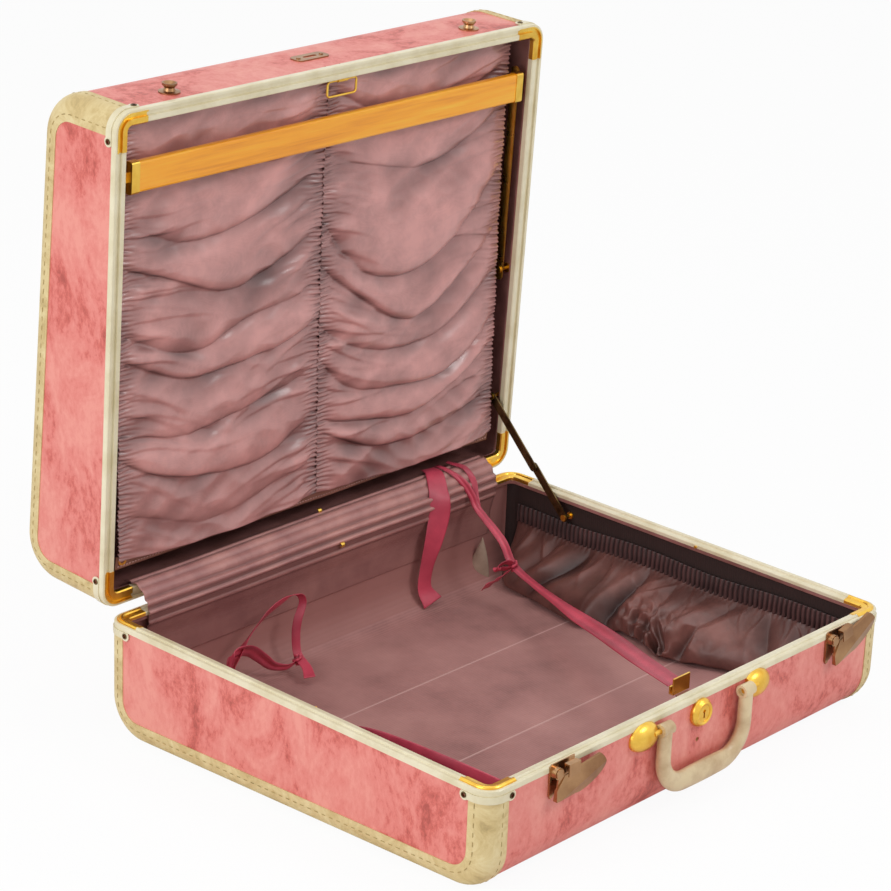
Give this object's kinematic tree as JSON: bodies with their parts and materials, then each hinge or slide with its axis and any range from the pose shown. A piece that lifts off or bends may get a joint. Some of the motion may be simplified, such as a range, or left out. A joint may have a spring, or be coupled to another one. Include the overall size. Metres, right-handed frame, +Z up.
{
  "type": "hard suitcase",
  "caption": "Hard-shell hand suitcase lying open: two lined halves joined at a rear hinge, with a carrying handle, flip latches, a lock, a folding hanger bar and a lid stay.",
  "frame": {"origin": "middle of the base's flat underside, where it rests", "axes": "+X along the lid hinge, to the right of someone facing the handle; -Y towards the handle; +Z up"},
  "size_m": [0.5362, 0.5755, 0.5779],
  "materials": {
    "brass": "polished",
    "bronze": "polished",
    "cream_binding": "satin",
    "cream_enamel": "satin",
    "cream_plastic": "gloss",
    "crimson_ribbon": "satin",
    "dark_cloth": "matte",
    "mauve_cloth": "matte",
    "mauve_satin": "satin",
    "pink_vinyl": "satin",
    "plywood": "matte",
    "steel": "satin",
    "varnished_wood": "gloss"
  },
  "bodies": {
    "base": {"base_shell": "plywood", "base_cover": "pink_vinyl", "base_lining": "mauve_cloth", "base_binding_left": "cream_binding", "base_binding_right": "cream_binding", "base_rim": "cream_enamel", "base_lining_welt": "mauve_cloth", "base_corner_caps": "brass", "base_corner_guards": "cream_enamel", "base_corner_rivets": "bronze", "base_hinge_leaves": "brass", "hinge_pins": "brass", "lock_bezel": "brass", "handle_brackets": "brass", "handle_pins": "brass", "latch_plate_left": "bronze", "latch_plate_right": "bronze", "latch_pins": "brass", "stay_base_pivot": "brass", "hinge_gusset": "mauve_cloth", "base_wall_studs": "brass", "ribbon_rear": "crimson_ribbon", "ribbon_long": "crimson_ribbon", "ribbon_loop": "crimson_ribbon", "ribbon_front": "crimson_ribbon", "strap_clip": "brass", "clip_tab": "mauve_cloth", "side_pocket": "dark_cloth", "side_pocket_elastic": "dark_cloth"},
    "lid": {"lid_shell": "plywood", "lid_cover": "pink_vinyl", "lid_lining": "mauve_cloth", "lid_binding_left": "cream_binding", "lid_binding_right": "cream_binding", "lid_rim": "cream_enamel", "lid_lining_welt": "mauve_cloth", "lid_corner_caps": "brass", "lid_corner_guards": "cream_enamel", "lid_corner_rivets": "bronze", "lid_hinge_leaves": "brass", "lid_strikes": "brass", "lid_hasp": "brass", "bar_pivots": "brass", "loop_clip": "brass", "stay_lid_pivot": "brass", "curtain_left": "mauve_satin", "curtain_right": "mauve_satin", "curtain_hem": "mauve_satin", "curtain_eyelets": "brass"},
    "hanger": {"hanger_bar": "varnished_wood", "bar_end_caps": "brass", "bar_arms": "brass"},
    "loop": {"wire_loop": "brass"},
    "handle": {"handle": "cream_plastic"},
    "latch_left": {"latch_leaf_left": "bronze"},
    "latch_right": {"latch_leaf_right": "bronze"},
    "lock": {"lock_cylinder": "brass"},
    "stay_lower": {"stay_lower_link": "steel"},
    "stay_upper": {"stay_upper_link": "steel"}
  },
  "joints": [
    {"name": "lid_hinge", "type": "hinge", "parent": "base", "child": "lid", "pos_m": [0, 0.22614, 0.11307], "axis": [1, 0, 0], "range_deg": [0, 87.5], "deforming": ["ribbon_rear", "ribbon_long", "hinge_gusset"]},
    {"name": "handle_swing", "type": "hinge", "parent": "base", "child": "handle", "pos_m": [0, -0.23564, 0.08472], "axis": [-1, 0, 0], "range_deg": [0, 110]},
    {"name": "latch_left_swing", "type": "hinge", "parent": "base", "child": "latch_left", "pos_m": [-0.1895, -0.23434, 0.09027], "axis": [0, -0.9994, -0.0354], "range_deg": [0, 66]},
    {"name": "latch_right_swing", "type": "hinge", "parent": "base", "child": "latch_right", "pos_m": [0.1835, -0.23434, 0.09027], "axis": [0, -0.9994, -0.0354], "range_deg": [-13, 53]},
    {"name": "lock_turn", "type": "hinge", "parent": "base", "child": "lock", "pos_m": [0, -0.22897, 0.07995], "axis": [0, -0.9994, -0.0354], "range_deg": [0, 90]},
    {"name": "hanger_swing", "type": "hinge", "parent": "lid", "child": "hanger", "pos_m": [0, 0.22717, 0.3218], "axis": [-1, 0, 0], "range_deg": [-90, 0]},
    {"name": "loop_swing", "type": "hinge", "parent": "lid", "child": "loop", "pos_m": [0.004, 0.19947, 0.55254], "axis": [1, 0, 0], "range_deg": [-60, 0]},
    {"name": "stay_lower_fold", "type": "hinge", "parent": "base", "child": "stay_lower", "pos_m": [0.25, 0.13699, 0.0874], "axis": [1, 0, 0], "range_deg": [0, 140.55]},
    {"name": "stay_upper_fold", "type": "hinge", "parent": "lid", "child": "stay_upper", "pos_m": [0.248, 0.23203, 0.19078], "axis": [1, 0, 0], "range_deg": [-103.23, 0]}
  ],
  "couplings": [
    {"joint": "stay_lower_fold", "follows": "lid_hinge", "ratio": 1.6062},
    {"joint": "stay_upper_fold", "follows": "lid_hinge", "ratio": -1.1797}
  ]
}
